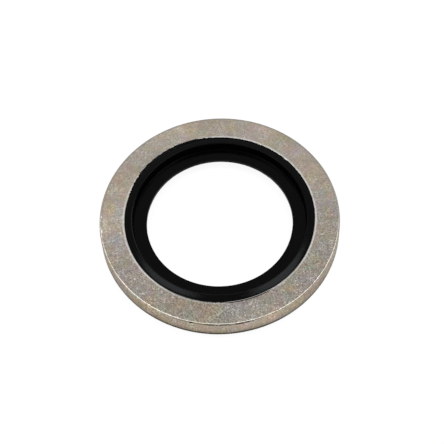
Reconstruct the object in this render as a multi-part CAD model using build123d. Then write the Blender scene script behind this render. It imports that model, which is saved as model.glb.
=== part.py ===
"""Self-centring bonded seal: a flat steel ring with a rubber seal moulded into its bore.

The ring limits how far the joint can be squeezed. The rubber has a lip on each side that stands
a little above the ring's face, and a thin web at half height that grips the thread of the
fitting and keeps the seal central. The two pieces are bonded face to face on the ring's bore.

Millimetres, +Z along the axis. The origin is on the axis, in the plane that the lower lip rests on.
"""

import os
from math import acos, atan2, cos, hypot, radians, sin, tan

from build123d import *

# Steel ring, size for a G 3/8 thread
ring_outer_diameter = 23.8
ring_width = 2.5  # radial, from the bore to the outer wall
ring_thickness = 2.1
ring_outer_bevel = 0.2  # outer corners
ring_bore_bevel = 0.08  # bore corners, just broken

# Rubber seal; both faces are alike
crest_inset = 0.66  # radial, from the ring's bore to the lip's crest
lip_proud = 0.1  # height of the crest above the ring's face
crest_rounding = 0.12
flank_angle = 82.0  # degrees from the ring's face, on the lip's inner side
web_reach = 1.49  # radial, from the lip's crest to the edge of the web's hole
web_edge_thickness = 0.35
web_root_thickness = 0.36
root_fillet = 0.03

# Where those sizes put things: radii from the axis, and heights from the middle plane
ring_outer_radius = ring_outer_diameter / 2
bore_radius = ring_outer_radius - ring_width
crest_radius = bore_radius - crest_inset
web_hole_radius = crest_radius - web_reach
bond_height = ring_thickness / 2 - ring_bore_bevel
crest_height = ring_thickness / 2 + lip_proud
middle_plane = Location((0, 0, crest_height))


def metal_ring():
    """Flat ring with bevelled corners, turned about the axis."""
    band = Pos(bore_radius + ring_width / 2, 0) * Rectangle(ring_width, ring_thickness)
    band = chamfer(band.vertices().group_by(Axis.X)[0], ring_bore_bevel)
    band = chamfer(band.vertices().group_by(Axis.X)[-1], ring_outer_bevel)
    return turned(band)


def rubber_seal():
    """Lip and web in one section, turned about the axis."""
    # The crest is an arc. The flank and the outer slope both leave it on a tangent.
    centre = Vector(crest_radius, crest_height - crest_rounding)
    edge = Vector(bore_radius, bond_height)
    flank = radians(flank_angle)
    to_edge = edge - centre
    slope = atan2(to_edge.Y, to_edge.X) + acos(crest_rounding / hypot(to_edge.X, to_edge.Y))
    flank_top = centre + crest_rounding * Vector(-sin(flank), cos(flank))
    slope_top = centre + crest_rounding * Vector(cos(slope), sin(slope))
    crest = Vector(crest_radius, crest_height)

    root_height = web_root_thickness / 2
    root = Vector(flank_top.X - (flank_top.Y - root_height) / tan(flank), root_height)
    web_edge = Vector(web_hole_radius, web_edge_thickness / 2)

    outline = Curve() + [
        Polyline((web_hole_radius, 0), web_edge, root, flank_top),
        ThreePointArc(flank_top, crest, slope_top),
        Polyline(slope_top, edge, (bore_radius, 0), (web_hole_radius, 0)),
    ]
    upper_half = make_face(outline)
    at_root = upper_half.vertices().sort_by_distance((root.X, root.Y))[0]
    upper_half = fillet(at_root, root_fillet)
    return turned(upper_half + mirror(upper_half, about=Plane.XZ))


def turned(section):
    """Turn a section drawn as (radius, height from the middle plane) about the axis."""
    upright = Plane.XZ * section
    return middle_plane * revolve(upright, Axis.Z)


pieces = {
    "metal_ring": metal_ring(),
    "rubber_seal": rubber_seal(),
}

os.makedirs("parts", exist_ok=True)
for name, piece in pieces.items():
    piece.label = name
    export_step(piece, f"parts/{name}.step")
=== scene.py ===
"""Self-centring bonded seal for a G 3/8 joint: the finished look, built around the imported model.

A zinc-plated steel ring with a black nitrile seal moulded into its bore. Each piece is a section
carried round the Z axis, so every mesh here is a grid over azimuth and distance along a section.

Metres, +Z along the axis. The origin is on the axis, in the plane that the lower lip rests on.
"""
from math import cos, radians, sin, tan

import bpy
import numpy as np
from bpy.props import FloatProperty, FloatVectorProperty, PointerProperty
from mathutils import Matrix, Vector


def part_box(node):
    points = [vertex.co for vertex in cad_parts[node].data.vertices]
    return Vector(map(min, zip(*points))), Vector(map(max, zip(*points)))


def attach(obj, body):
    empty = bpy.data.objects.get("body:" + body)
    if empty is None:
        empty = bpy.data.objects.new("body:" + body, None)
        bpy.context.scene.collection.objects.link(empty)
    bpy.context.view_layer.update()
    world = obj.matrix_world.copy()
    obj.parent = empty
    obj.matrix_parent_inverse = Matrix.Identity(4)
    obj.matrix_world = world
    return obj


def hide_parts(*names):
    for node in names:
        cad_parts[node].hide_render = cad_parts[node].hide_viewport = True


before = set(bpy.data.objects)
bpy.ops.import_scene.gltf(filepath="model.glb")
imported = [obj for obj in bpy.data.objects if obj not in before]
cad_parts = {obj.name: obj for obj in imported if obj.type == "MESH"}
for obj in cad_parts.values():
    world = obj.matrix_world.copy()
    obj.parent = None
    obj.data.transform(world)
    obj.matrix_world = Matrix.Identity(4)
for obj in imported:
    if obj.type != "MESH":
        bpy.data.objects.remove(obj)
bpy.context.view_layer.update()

bl_info = {
    "name": "Bonded Seal",
    "version": (1, 0, 0),
    "blender": (4, 5, 0),
    "location": "View3D > Sidebar > Bonded Seal",
    "description": "Builds a plated steel ring, its moulded rubber seal and a plain studio stage",
    "category": "Add Mesh",
}

MM = 0.001


def node_radii(name):
    """Smallest and largest distance from the Z axis among a CAD node's vertices."""
    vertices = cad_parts[name].data.vertices
    place = np.empty(len(vertices) * 3)
    vertices.foreach_get("co", place)
    radius = np.hypot(place[0::3], place[1::3])
    return float(radius.min()), float(radius.max())


BORE_RADIUS, OUTER_RADIUS = node_radii("metal_ring")
HOLE_RADIUS = node_radii("rubber_seal")[0]
RING_BOTTOM, RING_TOP = (corner.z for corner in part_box("metal_ring"))
CREST_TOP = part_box("rubber_seal")[1].z
MIDDLE = (RING_TOP + RING_BOTTOM) / 2
BORE_ROUNDING = 0.08 * MM  # of the ring's inner corners, which the rubber grows from


# ---------------------------------------------------------------- settings


def length(name, description, default):
    return FloatProperty(
        name=name, description=description, default=default, unit="LENGTH", precision=5
    )


def share(name, description, default):
    return FloatProperty(
        name=name, description=description, default=default, min=0.0, subtype="FACTOR"
    )


def colour(name, description, default):
    return FloatVectorProperty(
        name=name, description=description, default=default, size=3, subtype="COLOR",
        min=0.0, max=1.0,
    )


class RingSettings(bpy.types.PropertyGroup):
    outer_rounding: length("Outer rounding", "Radius of the outer corners", 0.2 * MM)
    bore_rounding: length("Bore rounding", "Radius of the bore's corners", BORE_ROUNDING)
    nick_depth: length("Nick depth", "Depth of the knocks along the outer corners", 0.035 * MM)
    waver: length("Waver", "How far the outer corners wander", 0.006 * MM)
    steel: colour("Plated steel", "Colour of the passivated zinc", (0.356, 0.314, 0.266))
    # The burnish colour also stands in for a painted highlight along the outer corner
    burnish: colour("Burnished corner", "Colour where the corners are rubbed", (0.50, 0.458, 0.383))
    # The colour of the painted shade along the wall's foot, deepest at the front
    foot_shade_colour: colour("Grime", "Colour in the pits and along the lower corner", (0.06, 0.055, 0.045))
    tint: share("Film tint", "Strength of the passivation's rainbow", 0.02)
    grain: share("Grain", "Contrast of the fine grain", 0.49)


class SealSettings(bpy.types.PropertyGroup):
    crest_inset: length("Crest inset", "From the bore to the lip's crest", 0.66 * MM)
    crest_rounding: length("Crest rounding", "Radius of the lip's crest", 0.08 * MM)
    crown: length("Crown", "Bulge of the lip's outer slope", 0.014 * MM)
    flank_angle: FloatProperty(
        name="Flank angle", description="Of the lip's inner side, from the ring's face",
        default=radians(82.0), subtype="ANGLE",
    )
    web_edge: length("Web edge", "Thickness of the web at its hole", 0.35 * MM)
    web_root: length("Web root", "Thickness of the web at the lip", 0.36 * MM)
    root_fillet: length("Root fillet", "Radius where the web meets the lip", 0.03 * MM)
    edge_rounding: length("Edge rounding", "Radius of the hole's edges", 0.02 * MM)
    waver: length("Waver", "How far the hole's edge wanders", 0.006 * MM)
    flash_ragged: share("Flash raggedness", "How ragged the film's rim is", 1.0)
    flash_thickness: length("Flash thickness", "Thickness of the film", 0.012 * MM)
    rubber: colour("Rubber", "Colour of the nitrile", (0.0005, 0.0005, 0.00055))


class StageSettings(bpy.types.PropertyGroup):
    distance: length("Distance", "From the ring's centre to the camera", 140.0 * MM)
    elevation: FloatProperty(
        name="Elevation", description="Of the camera above the floor",
        default=radians(59.93297), subtype="ANGLE",
    )
    roll: FloatProperty(
        name="Roll", description="Of the camera about its line of sight",
        default=radians(-3.01341), subtype="ANGLE",
    )
    aim: FloatVectorProperty(
        name="Aim", description="Point that the camera looks at", size=3,
        default=(0.2276 * MM, 0.6448 * MM, 0.1 * MM), subtype="TRANSLATION",
    )
    lens: FloatProperty(name="Lens", description="Focal length in mm", default=113.27337)
    lamp_radiance: FloatProperty(name="Lamp", description="Radiance of the lamps", default=7.0)
    sky: share("Sky", "Level of the light from all round", 0.7)
    floor: colour("Floor", "Colour of the floor", (0.85, 0.85, 0.85))


class BondedSealSettings(bpy.types.PropertyGroup):
    ring: PointerProperty(type=RingSettings)
    seal: PointerProperty(type=SealSettings)
    stage: PointerProperty(type=StageSettings)


# ---------------------------------------------------------------- sections and grids


def unit(vector):
    return vector / np.linalg.norm(vector)


def line_meet(point_a, slope_a, point_b, slope_b):
    """Where two lines cross, each through a point and at an angle from the radius axis."""
    along = np.array([[np.cos(slope_a), -np.cos(slope_b)], [np.sin(slope_a), -np.sin(slope_b)]])
    steps = np.linalg.solve(along, np.subtract(point_b, point_a))
    return point_a + steps[0] * along[:, 0]


def rounded_outline(corners, roundings, arc_points=12, run_points=10):
    """Closed outline through corners, each cut by an arc that touches both of its sides.

    The arc's centre lies on the corner's bisector, rounding / sin(half angle) from the corner.
    Points on a side gather towards its ends as (1 - cos(pi t)) / 2, so that shading stays flat.
    """
    corners = np.asarray(corners, float)
    arcs = []
    for before, corner, after, rounding in zip(
        np.roll(corners, 1, 0), corners, np.roll(corners, -1, 0), roundings
    ):
        if rounding == 0:
            arcs.append(corner[None])
            continue
        back, ahead = unit(before - corner), unit(after - corner)
        half = np.arccos(np.clip(back @ ahead, -1, 1)) / 2
        centre = corner + unit(back + ahead) * rounding / np.sin(half)
        first = corner + back * rounding / np.tan(half) - centre
        turn = (np.pi - 2 * half) * np.sign(back[1] * ahead[0] - back[0] * ahead[1])
        angle = np.arctan2(first[1], first[0]) + turn * np.linspace(0, 1, arc_points)
        arcs.append(centre + rounding * np.stack([np.cos(angle), np.sin(angle)], 1))
    step = (1 - np.cos(np.pi * np.arange(1, run_points) / run_points)) / 2
    runs = [
        arc[-1] + (following[0] - arc[-1]) * step[:, None]
        for arc, following in zip(arcs, arcs[1:] + arcs[:1])
    ]
    return np.concatenate([part for pair in zip(arcs, runs) for part in pair])


def round_noise(azimuth, fewest, most, seed):
    """Ripple round the ring: cosines with fewest to most waves a turn, at random phases.

    Their sum is divided so that its spread is one.
    """
    waves = np.arange(fewest, most + 1)
    rng = np.random.default_rng(seed)
    phase = rng.uniform(0, 2 * np.pi, waves.size)
    size = rng.uniform(0.4, 1.0, waves.size)
    ripple = (size * np.cos(azimuth[:, None] * waves + phase)).sum(1)
    return ripple / np.sqrt((size**2).sum() / 2)


def bumps(azimuth, bells):
    """Sum of bells round the ring: height times exp(-(angle from its place / width) squared).

    A bell is its place and width, both in degrees, and its height.
    """
    place, width, height = np.array(bells).T
    apart = (azimuth[:, None] - np.radians(place) + np.pi) % (2 * np.pi) - np.pi
    return (height * np.exp(-((apart / np.radians(width)) ** 2))).sum(1)


def revolved(name, azimuth, radius, height):
    """Object whose mesh is the closed grid (radius cos a, radius sin a, height).

    Azimuth runs along rows and the section along columns, counter-clockwise as seen with the
    radius to the right and the height upwards, so that every face points outwards.
    """
    turn = azimuth[:, None]
    points = np.stack([radius * np.cos(turn), radius * np.sin(turn), height], -1)
    index = np.arange(radius.size, dtype=np.int32).reshape(radius.shape)
    ahead = np.roll(index, -1, 0)
    quads = np.stack([index, ahead, np.roll(ahead, -1, 1), np.roll(index, -1, 1)], -1)
    mesh = bpy.data.meshes.new(name)
    mesh.vertices.add(index.size)
    mesh.vertices.foreach_set("co", points.ravel())
    mesh.loops.add(quads.size)
    mesh.loops.foreach_set("vertex_index", quads.ravel())
    mesh.polygons.add(index.size)
    mesh.polygons.foreach_set("loop_start", np.arange(0, quads.size, 4, dtype=np.int32))
    mesh.polygons.foreach_set("use_smooth", np.ones(index.size, bool))
    mesh.update(calc_edges=True)
    if mesh.validate():
        raise RuntimeError(f"{name}: the grid gave faces that Blender had to mend")
    piece = bpy.data.objects.new(name, mesh)
    bpy.context.scene.collection.objects.link(piece)
    return piece


def full_turn(count):
    """Evenly spaced azimuths, the first at zero."""
    return np.arange(count) * (2 * np.pi / count)


# Knocks on the outer corners: azimuth and width (degrees), share of the nick depth
UPPER_KNOCKS = (
    (269.4, 0.5, 1.0), (276.6, 0.35, 0.8), (262.0, 0.4, 0.5), (251.5, 0.5, 0.6),
    (294.0, 0.6, 0.5), (318.5, 0.4, 0.4), (233.0, 0.5, 0.5), (203.0, 0.4, 0.6),
    (187.5, 0.4, 0.8), (182.5, 0.3, 0.7), (12.0, 0.4, 0.6), (61.0, 0.5, 0.4),
    (118.0, 0.4, 0.4), (149.0, 0.5, 0.5),
)
LOWER_KNOCKS = (
    (30.0, 0.5, 0.8), (84.0, 0.4, 0.5), (131.0, 0.6, 0.7), (170.0, 0.5, 0.4),
    (214.0, 0.5, 0.6), (243.0, 0.4, 0.5), (281.0, 0.5, 0.6), (322.0, 0.6, 0.5),
)


def ring_mesh(settings):
    """Flat ring: a rectangle with rounded corners, carried round the axis.

    The outer corners wander by a ripple and are knocked in by a few bells of azimuth. Both move
    a point along the corner's diagonal, weighted by exp(-(distance from the corner / reach)^2).
    """
    corners = [
        (OUTER_RADIUS, RING_BOTTOM), (OUTER_RADIUS, RING_TOP),
        (BORE_RADIUS, RING_TOP), (BORE_RADIUS, RING_BOTTOM),
    ]
    outer, bore = settings.outer_rounding, settings.bore_rounding
    section = rounded_outline(corners, (outer, outer, bore, bore), arc_points=14, run_points=9)
    azimuth = full_turn(1080)
    radius = np.tile(section[:, 0], (azimuth.size, 1))
    height = np.tile(section[:, 1], (azimuth.size, 1))
    reach = 1.1 * outer
    edges = ((RING_TOP, UPPER_KNOCKS), (RING_BOTTOM, LOWER_KNOCKS))
    for seed, (level, knocks) in enumerate(edges, start=11):
        away = np.hypot(section[:, 0] - OUTER_RADIUS, section[:, 1] - level)
        weight = np.exp(-((away / reach) ** 2))
        sink = settings.nick_depth * bumps(azimuth, knocks)
        sink = sink + settings.waver * (1 + 0.5 * round_noise(azimuth, 30, 240, seed))
        shift = np.maximum(sink, 0)[:, None] * weight * np.sqrt(0.5)
        radius -= shift
        height -= shift * np.sign(level - MIDDLE)
    return revolved("plated_ring", azimuth, radius, height)


def seal_section(settings):
    """The seal's closed section, alike above and below the middle plane.

    The crest is the corner where the flank and the outer slope meet, cut by the crest's arc.
    The outer slope bulges by crown * 6.75 * u * (1 - u)^2, with u from the bond to the crest,
    which is the crown itself a third of the way along.
    """
    top = CREST_TOP - MIDDLE
    crest_radius = BORE_RADIUS - settings.crest_inset
    centre = np.array([crest_radius, top - settings.crest_rounding])
    bond = np.array([BORE_RADIUS, RING_TOP - MIDDLE - BORE_ROUNDING])
    reach = bond - centre
    normal = np.arctan2(reach[1], reach[0]) + np.arccos(
        settings.crest_rounding / np.hypot(*reach)
    )
    flank = settings.flank_angle
    flank_top = centre + settings.crest_rounding * np.array([-np.sin(flank), np.cos(flank)])
    crest = line_meet(bond, normal + np.pi / 2, flank_top, flank)
    half_root = settings.web_root / 2
    root = (flank_top[0] - (flank_top[1] - half_root) / tan(flank), half_root)
    lip = (HOLE_RADIUS, settings.web_edge / 2)
    upper = np.array([bond, crest, root, lip])
    corners = np.concatenate([upper, upper[::-1] * (1, -1)])
    cuts = [0, settings.crest_rounding, settings.root_fillet, settings.edge_rounding]
    section = rounded_outline(corners, cuts + cuts[::-1], arc_points=11, run_points=7)
    along = np.clip((BORE_RADIUS - section[:, 0]) / settings.crest_inset, 0, 1)
    section[:, 1] += settings.crown * 6.75 * along * (1 - along) ** 2 * np.sign(section[:, 1])
    return section + (0, MIDDLE)


def seal_mesh(settings):
    """The seal: its section carried round the axis, its hole's edge wandering by a ripple.

    The ripple fades from the hole to the lip's root as the square of what is left of the way.
    """
    section = seal_section(settings)
    azimuth = full_turn(840)
    radius = np.tile(section[:, 0], (azimuth.size, 1))
    height = np.tile(section[:, 1], (azimuth.size, 1))
    web = BORE_RADIUS - settings.crest_inset - HOLE_RADIUS
    left = np.clip(1 - (section[:, 0] - HOLE_RADIUS) / web, 0, 1) ** 2
    ripple = 0.5 + 0.5 * round_noise(azimuth, 3, 90, 21)
    radius += settings.waver * np.maximum(ripple, 0)[:, None] * left
    return revolved("nitrile_seal", azimuth, radius, height)


# Films of flash: whether on the upper face, seed, and knots of azimuth (degrees), the rim's
# distance beyond the bore and its raggedness (mm)
FILMS = {
    "flash_upper": (True, 31, (
        (0, 0.06, 0.01), (85, 0.06, 0.01), (92, 0.08, 0.02), (97, 0.14, 0.03),
        (103, 0.21, 0.03), (112, 0.235, 0.025), (138, 0.23, 0.025), (146, 0.17, 0.035),
        (154, 0.08, 0.035), (162, 0.03, 0.02), (172, -0.03, 0.0), (236, -0.03, 0.0),
        (248, 0.05, 0.01), (258, 0.05, 0.02), (267, 0.08, 0.03), (271, 0.05, 0.03),
        (274, 0.0, 0.01), (300, 0.0, 0.01), (308, -0.02, 0.01), (320, -0.03, 0.0),
        (345, -0.03, 0.0), (353, 0.02, 0.015), (360, 0.06, 0.01),
    )),
    "flash_lower": (False, 51, (
        (0, -0.03, 0.0), (20, 0.05, 0.01), (34, 0.2, 0.03), (70, 0.17, 0.03),
        (84, -0.02, 0.0), (190, -0.03, 0.0), (205, 0.12, 0.03), (240, 0.08, 0.03),
        (252, -0.03, 0.0), (360, -0.03, 0.0),
    )),
}
FILM_START = 0.12 * MM  # from the bore inwards to where a film leaves the rubber's slope
FILM_SLOPE = 0.293  # of the rubber there: rise over run
FILM_REACH = (-0.03, 0.36)  # least and greatest distance of a rim beyond the bore (mm)
FILM_FADE = 0.05 * MM  # range of reach, from the least, over which a film rises to the surface
FILM_SUNK = 0.004 * MM  # depth of a hidden film's top in the rubber
FILM_BED = 0.01 * MM  # depth of a film's underside


def flash_mesh(name, settings, upper, seed, knots):
    """Film of rubber over the ring's inner corner, ragged along its outer edge.

    The rim runs straight between the knots, plus raggedness * (ripple + spikes). The film's
    section is a flat lens: it leaves the rubber's slope, climbs the corner's rounding and thins
    to nothing at the rim. Where the rim falls short of the bore the film lies sunk in the rubber.
    """
    azimuth = full_turn(2400)
    place, rim, ragged = np.array(knots).T
    degrees = np.degrees(azimuth)
    coarse, fine = round_noise(azimuth, 20, 120, seed), round_noise(azimuth, 120, 400, seed + 1)
    wild = 0.6 * coarse + 0.35 * fine + 1.1 * np.maximum(fine - 0.9, 0)
    reach = np.interp(degrees, place, rim)
    reach = reach + settings.flash_ragged * wild * np.interp(degrees, place, ragged)
    reach = np.clip(reach, *FILM_REACH)[:, None] * MM
    across = np.linspace(0, 1, 17)
    start = BORE_RADIUS - FILM_START
    top_radius = start + (BORE_RADIUS + reach - start) * across
    gain = np.clip((reach - FILM_REACH[0] * MM) / FILM_FADE, 0, 1)
    lift = np.clip((top_radius - BORE_RADIUS) / BORE_ROUNDING, -1, 1)
    slope = FILM_SLOPE * (BORE_RADIUS - top_radius)
    under = np.where(lift < 0, slope, BORE_ROUNDING * np.sqrt(1 - (1 - np.maximum(lift, 0)) ** 2))
    under = RING_TOP - MIDDLE - BORE_ROUNDING + under
    thick = settings.flash_thickness * np.sqrt(np.clip(1 - across**2, 0, 1)) * np.sqrt(across)
    film = under + thick * gain - FILM_SUNK * (1 - gain)
    bed = under - FILM_BED
    radius = np.concatenate([top_radius, top_radius[:, ::-1]], 1)
    height = np.concatenate([bed, film[:, ::-1]], 1)
    if not upper:
        radius, height = radius[:, ::-1], -height[:, ::-1]
    return revolved(name, azimuth, radius, MIDDLE + height)


# ---------------------------------------------------------------- shader nodes


class Sheet:
    """Lays nodes in one tree. An input given as a socket is linked, any other is set."""

    def __init__(self, tree):
        self.tree = tree

    def add(self, kind, inputs=(), **fields):
        node = self.tree.nodes.new(kind)
        for field, value in fields.items():
            setattr(node, field, value)
        for key, value in dict(inputs).items():
            if isinstance(value, bpy.types.NodeSocket):
                self.tree.links.new(value, node.inputs[key])
            else:
                node.inputs[key].default_value = value
        return node

    def math(self, operation, *values):
        return self.add("ShaderNodeMath", enumerate(values), operation=operation).outputs[0]

    def times(self, first, second):
        return self.math("MULTIPLY", first, second)

    def linear(self, value, factor, start):
        """Value times factor, plus start."""
        return self.math("MULTIPLY_ADD", value, factor, start)

    def vector(self, operation, *values, output=0):
        node = self.add("ShaderNodeVectorMath", enumerate(values), operation=operation)
        return node.outputs[output]

    def between(self, value, low, high, start=0.0, stop=1.0):
        """Value eased from start at low to stop at high."""
        keys = {"Value": value, "From Min": low, "From Max": high, "To Min": start, "To Max": stop}
        node = self.add("ShaderNodeMapRange", keys, interpolation_type="SMOOTHSTEP")
        return node.outputs[0]

    def mix(self, factor, first, second, blend="MIX"):
        """Colour mix. The node's inputs 6 and 7 and its output 2 are its colours."""
        node = self.add("ShaderNodeMix", data_type="RGBA", blend_type=blend)
        for key, value in ((0, factor), (6, first), (7, second)):
            if isinstance(value, bpy.types.NodeSocket):
                self.tree.links.new(value, node.inputs[key])
            elif key:
                node.inputs[key].default_value = (*value[:3], 1.0)
            else:
                node.inputs[key].default_value = value
        return node.outputs[2]

    def scale(self, vector, by):
        node = self.add("ShaderNodeVectorMath", {0: vector, 3: by}, operation="SCALE")
        return node.outputs[0]

    def shaded(self, tone, shade):
        """Tone times exp(shade). Dark places keep more of their warmth than bright ones."""
        parts = self.add("ShaderNodeSeparateColor", {0: tone}).outputs
        channels = []
        for part, weight in zip(parts, (0.94, 1.0, 1.08)):
            gain = self.math("EXPONENT", self.times(shade, weight))
            channels.append(self.times(part, gain))
        return self.add("ShaderNodeCombineColor", enumerate(channels)).outputs[0]

    def stretched(self, place, angle, length, width):
        """Place turned about Z, then divided by a length along X and a width along Y."""
        turned = self.add(
            "ShaderNodeVectorRotate", {"Vector": place, "Angle": angle}, rotation_type="Z_AXIS"
        ).outputs[0]
        spread = self.add("ShaderNodeCombineXYZ", {
            0: self.math("DIVIDE", 1.0, length), 1: self.math("DIVIDE", 1.0, width), 2: 1.0,
        }).outputs[0]
        return self.vector("MULTIPLY", turned, spread)

    def noise(self, vector, scale, detail=2.0, roughness=0.5, output=0):
        keys = {"Vector": vector, "Scale": scale, "Detail": detail, "Roughness": roughness}
        return self.add("ShaderNodeTexNoise", keys).outputs[output]

    def use(self, tree, **inputs):
        """Places a group. Underscores in an input's name stand for spaces."""
        node = self.add("ShaderNodeGroup", node_tree=tree)
        for key, value in inputs.items():
            socket = node.inputs[key.replace("_", " ").title()]
            if isinstance(value, bpy.types.NodeSocket):
                self.tree.links.new(value, socket)
            else:
                socket.default_value = value
        return node.outputs

    def within(self, value, centre, half_width, softness):
        """The Band group's mask: one about the centre, easing to zero beyond the half width."""
        return self.use(
            band(), value=value, centre=centre, half_width=half_width, softness=softness
        )["Mask"]


def shader_group(name, inputs, outputs, build):
    """Node group, made once. Inputs are {name: default}, outputs are {name: socket type}."""
    if name in bpy.data.node_groups:
        return bpy.data.node_groups[name]
    tree = bpy.data.node_groups.new(name, "ShaderNodeTree")
    for key, default in inputs.items():
        kind = "NodeSocketVector" if default is None else "NodeSocketFloat"
        socket = tree.interface.new_socket(key, in_out="INPUT", socket_type=kind)
        if default is not None:
            socket.default_value = default
    for key, kind in outputs.items():
        tree.interface.new_socket(key, in_out="OUTPUT", socket_type=kind)
    sheet = Sheet(tree)
    results = build(sheet, sheet.add("NodeGroupInput").outputs)
    end = sheet.add("NodeGroupOutput")
    for key, result in zip(outputs, results):
        tree.links.new(result, end.inputs[key])
    return tree


MASK = {"Mask": "NodeSocketFloat"}


def ring_coordinates():
    """Object coordinates in millimetres, and radius, height and azimuth from them."""

    def build(sheet, given):
        place = sheet.scale(given["Vector"], 1000.0)
        axes = sheet.add("ShaderNodeSeparateXYZ", {0: place}).outputs
        square = sheet.times(axes[1], axes[1])
        radius = sheet.math("SQRT", sheet.linear(axes[0], axes[0], square))
        turn = sheet.math("ARCTAN2", axes[1], axes[0])
        degrees = sheet.math("DEGREES", sheet.math("WRAP", turn, 2 * np.pi, 0.0))
        return place, radius, axes[2], degrees

    outputs = {
        "Place": "NodeSocketVector", "Radius": "NodeSocketFloat",
        "Height": "NodeSocketFloat", "Azimuth": "NodeSocketFloat",
    }
    return shader_group("Ring coordinates", {"Vector": None}, outputs, build)


def band():
    """One inside a range about a centre, easing to zero over the softness beyond it."""

    def build(sheet, given):
        away = sheet.math("ABSOLUTE", sheet.math("SUBTRACT", given["Value"], given["Centre"]))
        edge = sheet.math("ADD", given["Half Width"], given["Softness"])
        return (sheet.between(away, given["Half Width"], edge, 1.0, 0.0),)

    inputs = {"Value": 0.0, "Centre": 0.0, "Half Width": 1.0, "Softness": 0.1}
    return shader_group("Band", inputs, MASK, build)


def surface_grain():
    """Fine grain about zero: two noises, the second half the size of the first."""

    def build(sheet, given):
        scale = sheet.math("DIVIDE", 1.0, given["Size"])
        one = sheet.noise(given["Place"], scale, 3.0, 0.6)
        two = sheet.noise(given["Place"], sheet.times(scale, 2.3), 2.0, 0.6)
        both = sheet.linear(two, 0.8, one)
        level = sheet.times(sheet.math("SUBTRACT", both, 0.9), 2.5)
        return level, sheet.linear(level, 0.5, 0.5)

    outputs = {"Level": "NodeSocketFloat", "Height": "NodeSocketFloat"}
    return shader_group("Surface grain", {"Place": None, "Size": 0.2}, outputs, build)


def thin_film():
    """Rainbow of a clear film whose thickness wanders, clearer in some patches than in others.

    Each channel is 1 + strength * patch * portion * cos(2 pi (thickness + its third of a turn)),
    plus cloudy stains from warm to cool and from green to pink, and a slow drift in warmth.
    """

    def build(sheet, given):
        scale = sheet.math("DIVIDE", 1.0, given["Patch"])
        broad = sheet.noise(given["Place"], scale, 1.0, 0.5)
        small = sheet.noise(given["Place"], sheet.times(scale, 3.1), 2.0, 0.5)
        thickness = sheet.linear(small, 0.5, sheet.times(broad, 3.2))
        patch = sheet.noise(given["Place"], sheet.times(scale, 1.37), 1.0, 0.5)
        patch = sheet.between(patch, 0.4, 0.68, 0.5, 2.4)
        slow = sheet.noise(given["Place"], sheet.times(scale, 0.4), 1.0, 0.5)
        slow = sheet.math("SUBTRACT", slow, 0.5)
        cloudy = sheet.noise(given["Place"], sheet.times(scale, 2.2), 4.0, 0.65, 1)
        stains = sheet.add("ShaderNodeSeparateColor", {0: cloudy}).outputs
        stain, blush = (sheet.math("SUBTRACT", part, 0.5) for part in (stains[0], stains[1]))
        channels = []
        for third, portion, drift, amber, pink in (
            (0.0, 1.1, 0.16, 0.18, 0.19),
            (1 / 3, 0.5, 0.02, 0.0, -0.19),
            (2 / 3, 1.5, -0.28, -0.51, 0.15),
        ):
            angle = sheet.times(sheet.math("ADD", thickness, third), 2 * np.pi)
            swing = sheet.times(sheet.math("COSINE", angle), given["Strength"])
            swing = sheet.times(swing, patch)
            level = sheet.linear(swing, portion, 1.0)
            level = sheet.linear(stain, amber, level)
            level = sheet.linear(blush, pink, level)
            channels.append(sheet.linear(slow, drift, level))
        return (sheet.add("ShaderNodeCombineColor", enumerate(channels)).outputs[0],)

    inputs = {"Place": None, "Patch": 2.0, "Strength": 0.05}
    return shader_group("Thin film", inputs, {"Color": "NodeSocketColor"}, build)


def oval_mark():
    """One soft oval: one about its centre, zero beyond its half length and half width."""

    def build(sheet, given):
        offset = sheet.vector("SUBTRACT", given["Place"], given["Centre"])
        turn = sheet.times(given["Angle"], -1.0)
        oval = sheet.stretched(offset, turn, given["Half Length"], given["Half Width"])
        away = sheet.vector("LENGTH", oval, output="Value")
        return (sheet.between(away, 0.25, 1.0, 1.0, 0.0),)

    inputs = {"Place": None, "Centre": None, "Angle": 0.0, "Half Length": 0.3, "Half Width": 0.1}
    return shader_group("Oval mark", inputs, MASK, build)


def flecks():
    """Small scattered spots: the heart of each cell whose random value is under the amount."""

    def build(sheet, given):
        scale = sheet.math("DIVIDE", 1.0, given["Spacing"])
        cells = sheet.add("ShaderNodeTexVoronoi", {"Vector": given["Place"], "Scale": scale})
        chance = sheet.add("ShaderNodeSeparateColor", {0: cells.outputs["Color"]}).outputs
        chosen = sheet.math("LESS_THAN", chance[0], given["Amount"])
        size = sheet.times(sheet.linear(chance[1], 0.7, 0.3), given["Size"])
        away = sheet.times(cells.outputs["Distance"], given["Spacing"])
        spot = sheet.between(away, 0.0, size, 1.0, 0.0)
        return (sheet.times(spot, chosen),)

    inputs = {"Place": None, "Spacing": 0.6, "Size": 0.1, "Amount": 0.2}
    return shader_group("Flecks", inputs, MASK, build)


def scratches():
    """Short straight scratches: a noise stretched along one direction, only its peaks kept."""

    def build(sheet, given):
        drawn = sheet.stretched(*(given[key] for key in ("Place", "Angle", "Length", "Width")))
        peaks = sheet.noise(drawn, 1.0, 1.0, 0.4)
        full = sheet.math("ADD", given["Threshold"], 0.08)
        return (sheet.between(peaks, given["Threshold"], full),)

    inputs = {"Place": None, "Angle": 0.6, "Length": 0.7, "Width": 0.09, "Threshold": 0.66}
    return shader_group("Scratches", inputs, MASK, build)


def new_material(name):
    """Material with a Principled shader: its sheet, the shader and the ring coordinates."""
    material = bpy.data.materials.new(name)
    material.use_nodes = True
    sheet = Sheet(material.node_tree)
    shader = material.node_tree.nodes["Principled BSDF"]
    own = sheet.add("ShaderNodeTexCoord").outputs["Object"]
    return material, sheet, shader, sheet.use(ring_coordinates(), vector=own)


def connect(sheet, shader, body, rough, height, strength, distance):
    """Gives a material's shader its colour, its roughness and a relief."""
    keys = {"Height": height, "Strength": strength, "Distance": distance}
    relief = sheet.add("ShaderNodeBump", keys).outputs[0]
    for key, value in (("Base Color", body), ("Roughness", rough), ("Normal", relief)):
        sheet.tree.links.new(value, shader.inputs[key])


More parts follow.
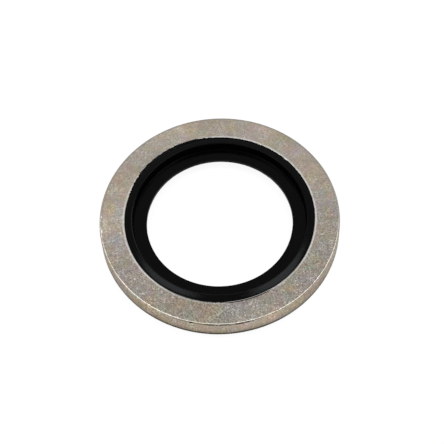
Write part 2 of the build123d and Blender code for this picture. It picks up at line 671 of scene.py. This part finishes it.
# Single marks on the upper face: azimuth (degrees), radius, half length, half width (mm),
# slant from the radius (degrees), strength, colour
FACE_MARKS = (
    # Knocks rubbed bright
    (292, 10.77, 0.12, 0.08, 20, 0.75, (0.72, 0.70, 0.66)),
    (304, 10.30, 0.20, 0.09, 15, 0.60, (0.72, 0.68, 0.60)),
    (280, 11.14, 0.15, 0.07, 10, 0.75, (0.75, 0.72, 0.68)),
    (280, 10.83, 0.10, 0.07, 10, 0.60, (0.70, 0.68, 0.64)),
    (296, 11.03, 0.10, 0.07, 70, 0.55, (0.70, 0.68, 0.64)),
    (187, 9.90, 0.14, 0.09, 80, 0.70, (0.78, 0.76, 0.72)),
    (217, 10.70, 0.16, 0.07, 40, 0.60, (0.72, 0.69, 0.64)),
    (230, 11.03, 0.13, 0.07, 30, 0.50, (0.70, 0.66, 0.60)),
    (347, 11.27, 0.12, 0.07, 0, 0.50, (0.72, 0.68, 0.60)),
    # Dark pits
    (287, 10.35, 0.12, 0.08, 60, 0.55, (0.13, 0.12, 0.10)),
    (165, 10.52, 0.11, 0.07, 30, 0.50, (0.14, 0.13, 0.11)),
    (288, 11.33, 0.14, 0.07, 75, 0.45, (0.15, 0.14, 0.12)),
    # Stains
    (307, 10.50, 0.85, 0.50, 50, 0.28, (0.46, 0.29, 0.13)),
    (172, 10.90, 1.40, 0.65, 85, 0.28, (0.46, 0.34, 0.13)),
    (101, 10.80, 0.80, 0.40, 85, 0.22, (0.50, 0.29, 0.16)),
    (5, 10.85, 0.60, 0.45, 30, 0.20, (0.33, 0.28, 0.40)),
    (41, 10.85, 0.60, 0.45, 60, 0.20, (0.34, 0.28, 0.40)),
    (324, 10.57, 1.20, 0.32, 45, 0.26, (0.22, 0.36, 0.25)),
    (317, 10.70, 0.60, 0.40, 50, 0.20, (0.36, 0.28, 0.38)),
    (329, 10.10, 0.45, 0.30, 60, 0.24, (0.50, 0.31, 0.18)),
    (190, 10.25, 0.60, 0.35, 85, 0.20, (0.26, 0.28, 0.33)),
    (257, 10.70, 0.60, 0.45, 60, 0.20, (0.36, 0.28, 0.35)),
    (266, 10.20, 0.55, 0.35, 85, 0.20, (0.40, 0.36, 0.21)),
    (154, 10.30, 0.55, 0.40, 40, 0.18, (0.25, 0.38, 0.28)),
    # Bright and dark dashes on the rim, at its left end: painted highlights where the corner
    # reflects the floor, and painted shade of small dents beside them
    (176.4, 11.71, 0.13, 0.07, 90, 1.00, (0.95, 0.93, 0.88)),
    (184.4, 11.70, 0.30, 0.07, 90, 1.00, (0.95, 0.93, 0.88)),
    (176.9, 11.82, 0.13, 0.06, 90, 1.00, (0.08, 0.07, 0.06)),
    (182.0, 11.82, 0.12, 0.06, 90, 0.80, (0.08, 0.07, 0.06)),
    (184.3, 11.83, 0.22, 0.06, 90, 1.00, (0.08, 0.07, 0.06)),
)

# Sectors with a look of their own: centre, half width, softness (degrees of azimuth)
SECTORS = {
    "front": (267.0, 18.0, 25.0),  # wall painted brighter, its foot's painted shade deeper, the corner's painted dark band lighter
    "nearest": (270.0, 7.0, 6.0),  # painted highlight on the corner brighter, as at the left and right
    "left": (205.0, 10.0, 10.0),
    "right": (335.0, 12.0, 10.0),
    "dimmed_corner": (305.0, 14.0, 18.0),  # painted highlight on the corner weaker, its painted dark band deeper
    "beaded": (186.0, 8.0, 6.0),  # painted glints in beads along the corner
    "fitted": (285.0, 11.0, 5.0),  # rubber close against the ring
    "seated": (277.0, 42.0, 10.0),  # painted shade on the face beside the rubber
    "deep": (256.0, 14.0, 6.0),  # that painted shade darker
    "dashed": (266.0, 12.0, 12.0),  # painted dark reflection in dashes under the corner
    "highlit_crest": (186.0, 12.0, 18.0),  # painted highlight on the lip's crest
    "slick": (270.0, 16.0, 6.0),  # rubber glossier
}

# Colours of small features, and the factor that warms the wall. All but the dust are painted
# highlights and painted shade; the bare edge is partly rubbed metal
BARE_EDGE_AND_HIGHLIGHT = (0.63, 0.63, 0.62)
GLINT = (0.95, 0.92, 0.86)
RIM_SHADE = (0.26, 0.25, 0.24)
WALL_WARMTH = (0.92, 0.87, 0.79)
GAP_SHADE = (0.003, 0.003, 0.003)
DARK_REFLECTION = (0.015, 0.014, 0.012)
DUST = (0.12, 0.11, 0.1)
CREST_HIGHLIGHT = (0.0095, 0.0095, 0.01)


def sector(sheet, at, name):
    """Mask of one of the sectors, from a material's ring coordinates."""
    return sheet.within(at["Azimuth"], *SECTORS[name])


def filmed_steel(sheet, at, settings, grain, wall, front, coarse_side):
    """The film's rainbow on the steel, shaded by fine grain, blotches and slow clouds.

    The wall has a fainter rainbow, calmer blotches and upright streaks; it is painted brighter, and
    the face is painted darker towards one side.
    """
    place = at["Place"]
    shifted = sheet.vector("ADD", place, (40.0, 13.0, 5.0))
    strength = sheet.linear(wall, -0.45 * settings.tint, settings.tint)
    film = sheet.use(thin_film(), place=shifted, patch=2.9, strength=strength)["Color"]
    body = sheet.mix(1.0, settings.steel, film, "MULTIPLY")
    contrast = sheet.linear(coarse_side, 0.9 * settings.grain, settings.grain)
    patchy = sheet.between(sheet.noise(place, 0.9, 2.0, 0.5), 0.36, 0.68, 0.7, 1.5)
    shade = sheet.times(grain, sheet.times(contrast, patchy))
    blotch = sheet.use(surface_grain(), place=place, size=0.55)["Level"]
    shade = sheet.linear(blotch, sheet.linear(wall, -0.07, 0.11), shade)
    for scale, depth in ((0.9, 0.42), (0.24, 0.58)):
        cloud = sheet.math("SUBTRACT", sheet.noise(place, scale, 3.0, 0.55), 0.5)
        shade = sheet.linear(cloud, depth, shade)
    upright = sheet.vector("MULTIPLY", place, (1.0, 1.0, 0.22))
    streak = sheet.math("SUBTRACT", sheet.noise(upright, 2.6, 3.0, 0.6), 0.5)
    shade = sheet.linear(sheet.times(streak, wall), 0.35, shade)
    body = sheet.shaded(body, shade)

    # Painted shade darkens the face towards one side. The wall is warmer and painted brighter, most
    # at the front, and takes the film's colours a second time
    side_shade = sheet.vector("DOT_PRODUCT", place, (0.35, -0.94, 0.0), output="Value")
    side_shade = sheet.between(side_shade, -7.0, 11.0, 1.02, 0.745)
    warm = sheet.mix(1.0, body, WALL_WARMTH, "MULTIPLY")
    warm = sheet.scale(warm, sheet.linear(front, 0.1, 1.19))
    body = sheet.mix(wall, sheet.scale(body, side_shade), warm)
    return sheet.mix(sheet.times(wall, 0.35), body, film, "MULTIPLY")


def rubbed_and_highlit_corner(sheet, at, settings, body, rub_and_highlight, front, dimmed_corner):
    """The outer corner: painted shade just inside its rounding, rubbed bright on it with a painted
    highlight, and painted glints in beads at the left end.
    """
    # Painted shade in a band just inside the corner's rounding, lighter at the front and deeper
    # where the corner's painted highlight is weakened
    inner_shade = sheet.within(at["Radius"], OUTER_RADIUS / MM - 0.18, 0.02, 0.06)
    dip = sheet.linear(dimmed_corner, -0.2, sheet.linear(front, 0.3, -0.3))
    body = sheet.scale(body, sheet.linear(inner_shade, dip, 1.0))
    # Painted highlight: the rubbed colour is brightened in the nearest, left and right sectors
    left, right, nearest = (sector(sheet, at, name) for name in ("left", "right", "nearest"))
    bright = sheet.math("ADD", nearest, sheet.math("ADD", left, right))
    bright = sheet.linear(bright, 0.32, 1.0)
    polish_and_highlight = sheet.mix(1.0, settings.burnish, bright, "MULTIPLY")
    body = sheet.mix(sheet.times(rub_and_highlight, 0.9), body, polish_and_highlight)
    # Painted glints in beads on the corner at its left end
    beads = sheet.between(sheet.noise(at["Place"], 1.9, 2.0, 0.6), 0.44, 0.54)
    glint = sheet.times(sector(sheet, at, "beaded"), beads)
    return sheet.mix(sheet.times(glint, rub_and_highlight), body, GLINT)


def seated_edge(sheet, at, body, broken):
    """The inner corner: a pale edge beside the rubber, partly rubbed bare and partly a painted
    highlight, with painted shade on the face in front of it.

    In one short sector the rubber fits closely, and the edge is a thin painted highlight that ends
    in a painted dark gap.
    """
    radius, bore = at["Radius"], BORE_RADIUS / MM
    fitted = sector(sheet, at, "fitted")
    # A pale line by the bore: rubbed bare metal with a painted highlight on it
    lip = sheet.times(sheet.within(radius, bore + 0.14, 0.04, 0.07), broken)
    lip = sheet.times(lip, sheet.linear(fitted, -0.7, 0.75))
    body = sheet.mix(lip, body, BARE_EDGE_AND_HIGHLIGHT)
    # Painted shade on the face beside the rubber, darkest in the deep sector, none where the rubber
    # fits closely
    depth = sheet.linear(sector(sheet, at, "deep"), -0.24, -0.26)
    loose = sheet.math("SUBTRACT", 1.0, fitted)
    seat_shade = sheet.times(sector(sheet, at, "seated"), loose)
    ledge = sheet.within(radius, bore + 0.1, 0.05, 0.05)
    seat_shade = sheet.times(seat_shade, sheet.times(ledge, depth))
    body = sheet.scale(body, sheet.math("ADD", seat_shade, 1.0))
    # Where the rubber fits closely, a thin painted highlight right at the bore
    brink = sheet.times(sheet.within(radius, bore + 0.04, 0.02, 0.03), fitted)
    body = sheet.mix(sheet.times(brink, 0.75), body, BARE_EDGE_AND_HIGHLIGHT)
    # Painted shade: a dark gap just beyond that highlight, where the rubber fits closely
    step = sheet.times(sheet.within(radius, bore + 0.14, 0.035, 0.03), fitted)
    return sheet.mix(step, body, GAP_SHADE)


def marked_face(sheet, at, settings, body, coarse_side):
    """Flecks, short scratches and single marks, and painted shade along the outer rim on the side
    where the grain is fine.
    """
    place, outer, top = at["Place"], OUTER_RADIUS / MM, RING_TOP / MM
    # Painted shade along the outer rim, on the side where the grain is fine
    rim = sheet.between(at["Radius"], outer - 0.27, outer - 0.17)
    rim = sheet.times(rim, sheet.linear(coarse_side, -0.6, 0.6))
    body = sheet.mix(rim, body, RIM_SHADE)
    spots = sheet.use(flecks(), place=place, spacing=0.5, size=0.13, amount=0.14)["Mask"]
    lines = sheet.use(scratches(), place=place, angle=0.9, threshold=0.66)["Mask"]
    bright = sheet.math("MAXIMUM", spots, sheet.times(lines, 0.7))
    bright = sheet.times(bright, sheet.linear(coarse_side, 0.35, 0.15))
    body = sheet.mix(bright, body, settings.burnish)
    upper = sheet.between(at["Height"], top - 0.06, top - 0.02)
    for turn, reach, half_length, half_width, slant, strength, tone in FACE_MARKS:
        angle = radians(turn)
        mark = sheet.use(
            oval_mark(), place=place, centre=(reach * cos(angle), reach * sin(angle), top),
            angle=angle + radians(slant), half_length=half_length, half_width=half_width,
        )["Mask"]
        mark = sheet.times(sheet.times(mark, upper), strength)
        body = sheet.mix(mark, body, tone)
    return body


def painted_wall_shade(sheet, at, settings, body, wall, front):
    """Painted dark reflection in dashes under the rubbed corner in one sector, and painted shade
    along the wall's foot.
    """
    radius, height = at["Radius"], at["Height"]
    outer, top = OUTER_RADIUS / MM, RING_TOP / MM
    # Painted shade along the wall's foot, where the floor's shadow is reflected, deepest at the
    # front
    depth = sheet.linear(front, 0.42, 0.48)
    foot = sheet.times(sheet.between(height, 0.74, 0.38), depth)
    foot = sheet.linear(sheet.between(height, 1.3, 0.6), 0.2, foot)
    body = sheet.mix(sheet.times(foot, wall), body, settings.foot_shade_colour)
    # Painted dark reflection in dashes just under the rubbed corner, in one sector
    dashes = sheet.between(sheet.noise(at["Place"], 1.3, 2.0, 0.6), 0.42, 0.5, 0.45, 1.0)
    under = sheet.times(sheet.within(height, top - 0.06, 0.04, 0.04), dashes)
    under = sheet.times(under, sector(sheet, at, "dashed"))
    under = sheet.times(under, sheet.between(radius, outer - 0.14, outer - 0.1))
    return sheet.mix(under, body, DARK_REFLECTION)


def plated_steel(settings):
    """Passivated zinc on steel: satin, faintly rainbow, grained, rubbed bright on its corners, with
    painted highlights and painted shade added.
    """
    material, sheet, shader, at = new_material("plated_steel")
    place, radius = at["Place"], at["Radius"]
    outer, top, middle = OUTER_RADIUS / MM, RING_TOP / MM, MIDDLE / MM
    grain = sheet.use(surface_grain(), place=place, size=0.15)
    level = grain["Level"]
    along_y = sheet.add("ShaderNodeSeparateXYZ", {0: place}).outputs[1]
    coarse_side = sheet.between(along_y, 6.0, -8.0)
    wall = sheet.between(radius, outer - 0.1, outer - 0.02)
    front, dimmed_corner = sector(sheet, at, "front"), sector(sheet, at, "dimmed_corner")

    # Rubbing on the corners, broken up along them; on the outer corner it also carries a painted
    # highlight
    lift = sheet.math("ABSOLUTE", sheet.math("SUBTRACT", at["Height"], middle))
    near_face = sheet.between(lift, top - middle - 0.14, top - middle - 0.08)
    broken = sheet.between(sheet.noise(place, 2.6, 3.0, 0.65), 0.36, 0.54, 0.6, 1.0)
    broken = sheet.times(broken, near_face)
    rub_and_highlight = sheet.times(sheet.within(radius, outer - 0.13, 0.015, 0.05), broken)
    # The corner's painted highlight is weaker in one sector
    rub_and_highlight = sheet.times(rub_and_highlight, sheet.linear(dimmed_corner, -0.5, 1.0))

    body = filmed_steel(sheet, at, settings, level, wall, front, coarse_side)
    body = rubbed_and_highlit_corner(sheet, at, settings, body, rub_and_highlight, front, dimmed_corner)
    body = seated_edge(sheet, at, body, broken)
    body = marked_face(sheet, at, settings, body, coarse_side)
    body = painted_wall_shade(sheet, at, settings, body, wall, front)
    rough = sheet.linear(wall, 0.25, sheet.linear(level, 0.04, 0.21))
    rough = sheet.linear(rub_and_highlight, 0.16, rough)
    shader.inputs["Metallic"].default_value = 1.0
    shader.inputs["Specular Tint"].default_value = (0.65, 0.63, 0.6, 1.0)
    connect(sheet, shader, body, rough, grain["Height"], 0.25, 0.02 * MM)
    return material


def nitrile(settings):
    """Black moulded rubber: satin, faintly streaked round the axis, with a little dust."""
    if "nitrile" in bpy.data.materials:
        return bpy.data.materials["nitrile"]
    material, sheet, shader, at = new_material("nitrile")
    place = at["Place"]
    grain = sheet.use(surface_grain(), place=place, size=0.14)
    flow = sheet.add("ShaderNodeCombineXYZ", {
        0: sheet.times(at["Radius"], 4.0),
        1: sheet.times(at["Azimuth"], 0.06),
        2: sheet.times(at["Height"], 4.0),
    }).outputs[0]
    streak = sheet.math("SUBTRACT", sheet.noise(flow, 1.0, 2.0, 0.5), 0.5)
    shade = sheet.linear(streak, 2.0, sheet.times(grain["Level"], 2.6))
    shade = sheet.math("EXPONENT", shade)
    body = sheet.mix(1.0, settings.rubber, shade, "MULTIPLY")
    dust = sheet.use(flecks(), place=place, spacing=0.8, size=0.1, amount=0.05)["Mask"]
    body = sheet.mix(sheet.times(dust, 0.08), body, DUST)

    # Painted highlight along the lip's crest, in one sector
    crest_radius = (BORE_RADIUS - settings.crest_inset) / MM
    crest = sheet.within(at["Radius"], crest_radius - 0.035, 0.03, 0.06)
    crest = sheet.times(crest, sector(sheet, at, "highlit_crest"))
    body = sheet.mix(crest, body, CREST_HIGHLIGHT)
    rough = sheet.linear(grain["Level"], 0.05, 0.15)
    rough = sheet.linear(sector(sheet, at, "slick"), -0.1, rough)
    rough = sheet.linear(streak, 0.1, rough)
    shader.inputs["Specular IOR Level"].default_value = 0.049
    connect(sheet, shader, body, rough, grain["Height"], 0.3, 0.01 * MM)
    return material


# ---------------------------------------------------------------- stage


FLOOR_REACH = 0.6  # half the floor's side
FLOOR_WHITE = 1.03  # level that the floor shows where no shadow falls
# Lamps: centre, and size along X and Y
LAMPS = {
    "lamp_left": ((-0.102, 0.031, 0.3), (0.09, 0.106)),
    "lamp_right": ((0.105, 0.0285, 0.3), (0.12, 0.111)),
}


def ray_kinds(sheet):
    """Masks of camera rays, and of glossy and transmission rays."""
    path = sheet.add("ShaderNodeLightPath").outputs
    shiny = sheet.math("MAXIMUM", path["Is Glossy Ray"], path["Is Transmission Ray"])
    return path["Is Camera Ray"], shiny


def studio_world(sky):
    """White for camera, glossy and transmission rays, and the sky's level for all others."""
    world = bpy.data.worlds.new("studio")
    world.use_nodes = True
    sheet = Sheet(world.node_tree)
    white = sheet.math("MAXIMUM", *ray_kinds(sheet))
    level = sheet.linear(white, 1.0 - sky, sky)
    background = world.node_tree.nodes["Background"]
    background.inputs["Color"].default_value = (1.0, 1.0, 1.0, 1.0)
    world.node_tree.links.new(level, background.inputs["Strength"])
    return world


def floor_material(settings):
    """Pale floor that shows white, yet keeps a faint shadow, and can't be seen from below.

    Camera and shiny rays meet a glow plus a share of diffuse shading, which keeps the shadow.
    """
    material = bpy.data.materials.new("floor")
    material.use_nodes = True
    sheet = Sheet(material.node_tree)
    nodes = material.node_tree.nodes
    nodes.remove(nodes["Principled BSDF"])
    camera, shiny = ray_kinds(sheet)
    shade = sheet.add("ShaderNodeBsdfDiffuse", {0: (*settings.floor, 1.0)}).outputs[0]
    for ray, kept in ((shiny, 0.7), (camera, 0.12)):
        faint = sheet.add("ShaderNodeBsdfDiffuse", {0: (kept, kept, kept, 1.0)}).outputs[0]
        keys = {0: (1.0, 1.0, 1.0, 1.0), 1: FLOOR_WHITE - kept}
        glow = sheet.add("ShaderNodeEmission", keys).outputs[0]
        white = sheet.add("ShaderNodeAddShader", {0: faint, 1: glow}).outputs[0]
        shade = sheet.add("ShaderNodeMixShader", {0: ray, 1: shade, 2: white}).outputs[0]
    clear = sheet.add("ShaderNodeBsdfTransparent").outputs[0]
    back = sheet.add("ShaderNodeNewGeometry").outputs["Backfacing"]
    both = sheet.add("ShaderNodeMixShader", {0: back, 1: shade, 2: clear}).outputs[0]
    material.node_tree.links.new(both, nodes["Material Output"].inputs["Surface"])
    return material


def area_lamp(name, centre, size, radiance):
    """Rectangular lamp facing the ring. Its power is radiance times pi times its area."""
    data = bpy.data.lights.new(name, "AREA")
    data.shape = "RECTANGLE"
    data.size, data.size_y = size
    data.energy = radiance * np.pi * size[0] * size[1]
    data.color = (0.9, 0.96, 1.0)
    lamp = bpy.data.objects.new(name, data)
    lamp.location = centre
    lamp.rotation_euler = (-Vector(centre)).to_track_quat("-Z", "Y").to_euler()
    bpy.context.scene.collection.objects.link(lamp)


def place_camera(settings):
    """Camera in front of the ring's centre, turned to its aim and rolled about that line."""
    data = bpy.data.cameras.new("camera")
    data.lens, data.sensor_width = settings.lens, 36.0
    data.clip_start, data.clip_end = 0.01, 10.0
    camera = bpy.data.objects.new("camera", data)
    bpy.context.scene.collection.objects.link(camera)
    place = Vector((0.0, -np.cos(settings.elevation), np.sin(settings.elevation)))
    place = place * settings.distance + Vector((0.0, 0.0, RING_BOTTOM))
    ahead = (Vector(settings.aim) - place).normalized()
    level = ahead.cross(Vector((0.0, 0.0, 1.0))).normalized()
    right = Matrix.Rotation(-settings.roll, 3, ahead) @ level
    axes = Matrix((right, (-ahead).cross(right), -ahead)).transposed()
    camera.matrix_world = Matrix.Translation(place) @ axes.to_4x4()
    bpy.context.scene.camera = camera


# ---------------------------------------------------------------- operators


class SEAL_OT_ring(bpy.types.Operator):
    """Build the plated steel ring, its corners rounded, rubbed and a little knocked"""

    bl_idname = "seal.ring"
    bl_label = "Steel Ring"

    def execute(self, context):
        settings = context.scene.bonded_seal.ring
        piece = ring_mesh(settings)
        piece.data.materials.append(plated_steel(settings))
        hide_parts("metal_ring")
        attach(piece, "root")
        return {"FINISHED"}


class SEAL_OT_seal(bpy.types.Operator):
    """Build the rubber seal: a lip on each face and the web between them"""

    bl_idname = "seal.seal"
    bl_label = "Rubber Seal"

    def execute(self, context):
        settings = context.scene.bonded_seal.seal
        piece = seal_mesh(settings)
        piece.data.materials.append(nitrile(settings))
        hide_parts("rubber_seal")
        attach(piece, "root")
        return {"FINISHED"}


class SEAL_OT_flash(bpy.types.Operator):
    """Build the ragged films of rubber that the mould left over the ring's inner corners"""

    bl_idname = "seal.flash"
    bl_label = "Moulding Flash"

    def execute(self, context):
        settings = context.scene.bonded_seal.seal
        for name, (upper, seed, knots) in FILMS.items():
            piece = flash_mesh(name, settings, upper, seed, knots)
            piece.data.materials.append(nitrile(settings))
            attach(piece, "root")
        return {"FINISHED"}


class SEAL_OT_stage(bpy.types.Operator):
    """Build the floor, the soft light and the camera"""

    bl_idname = "seal.stage"
    bl_label = "Stage"

    def execute(self, context):
        settings = context.scene.bonded_seal.stage
        mesh = bpy.data.meshes.new("floor")
        signs = ((-1, -1), (1, -1), (1, 1), (-1, 1))
        corners = [(x * FLOOR_REACH, y * FLOOR_REACH, 0) for x, y in signs]
        mesh.from_pydata(corners, [], [(0, 1, 2, 3)])
        floor = bpy.data.objects.new("floor", mesh)
        context.scene.collection.objects.link(floor)
        mesh.materials.append(floor_material(settings))
        context.scene.world = studio_world(settings.sky)
        for name, (centre, size) in LAMPS.items():
            area_lamp(name, centre, size, settings.lamp_radiance)
        place_camera(settings)
        context.scene.view_settings.view_transform = "Standard"
        return {"FINISHED"}


class SEAL_PT_panel(bpy.types.Panel):
    """Sizes, colours and build steps of the bonded seal"""

    bl_idname = "SEAL_PT_panel"
    bl_label = "Bonded Seal"
    bl_space_type = "VIEW_3D"
    bl_region_type = "UI"
    bl_category = "Bonded Seal"

    def draw(self, context):
        settings = context.scene.bonded_seal
        for title, group, operators in (
            ("Steel ring", settings.ring, (SEAL_OT_ring,)),
            ("Rubber seal", settings.seal, (SEAL_OT_seal, SEAL_OT_flash)),
            ("Stage", settings.stage, (SEAL_OT_stage,)),
        ):
            box = self.layout.box()
            box.label(text=title)
            for key in group.__annotations__:
                box.prop(group, key)
            for operator in operators:
                box.operator(operator.bl_idname)


CLASSES = (
    RingSettings, SealSettings, StageSettings, BondedSealSettings,
    SEAL_OT_ring, SEAL_OT_seal, SEAL_OT_flash, SEAL_OT_stage, SEAL_PT_panel,
)


def register():
    for cls in CLASSES:
        bpy.utils.register_class(cls)
    bpy.types.Scene.bonded_seal = PointerProperty(type=BondedSealSettings)


def unregister():
    del bpy.types.Scene.bonded_seal
    for cls in reversed(CLASSES):
        bpy.utils.unregister_class(cls)


def main():
    register()
    bpy.ops.seal.ring()
    bpy.ops.seal.seal()
    bpy.ops.seal.flash()
    bpy.ops.seal.stage()
    bpy.context.view_layer.update()


if __name__ == "__main__":
    main()
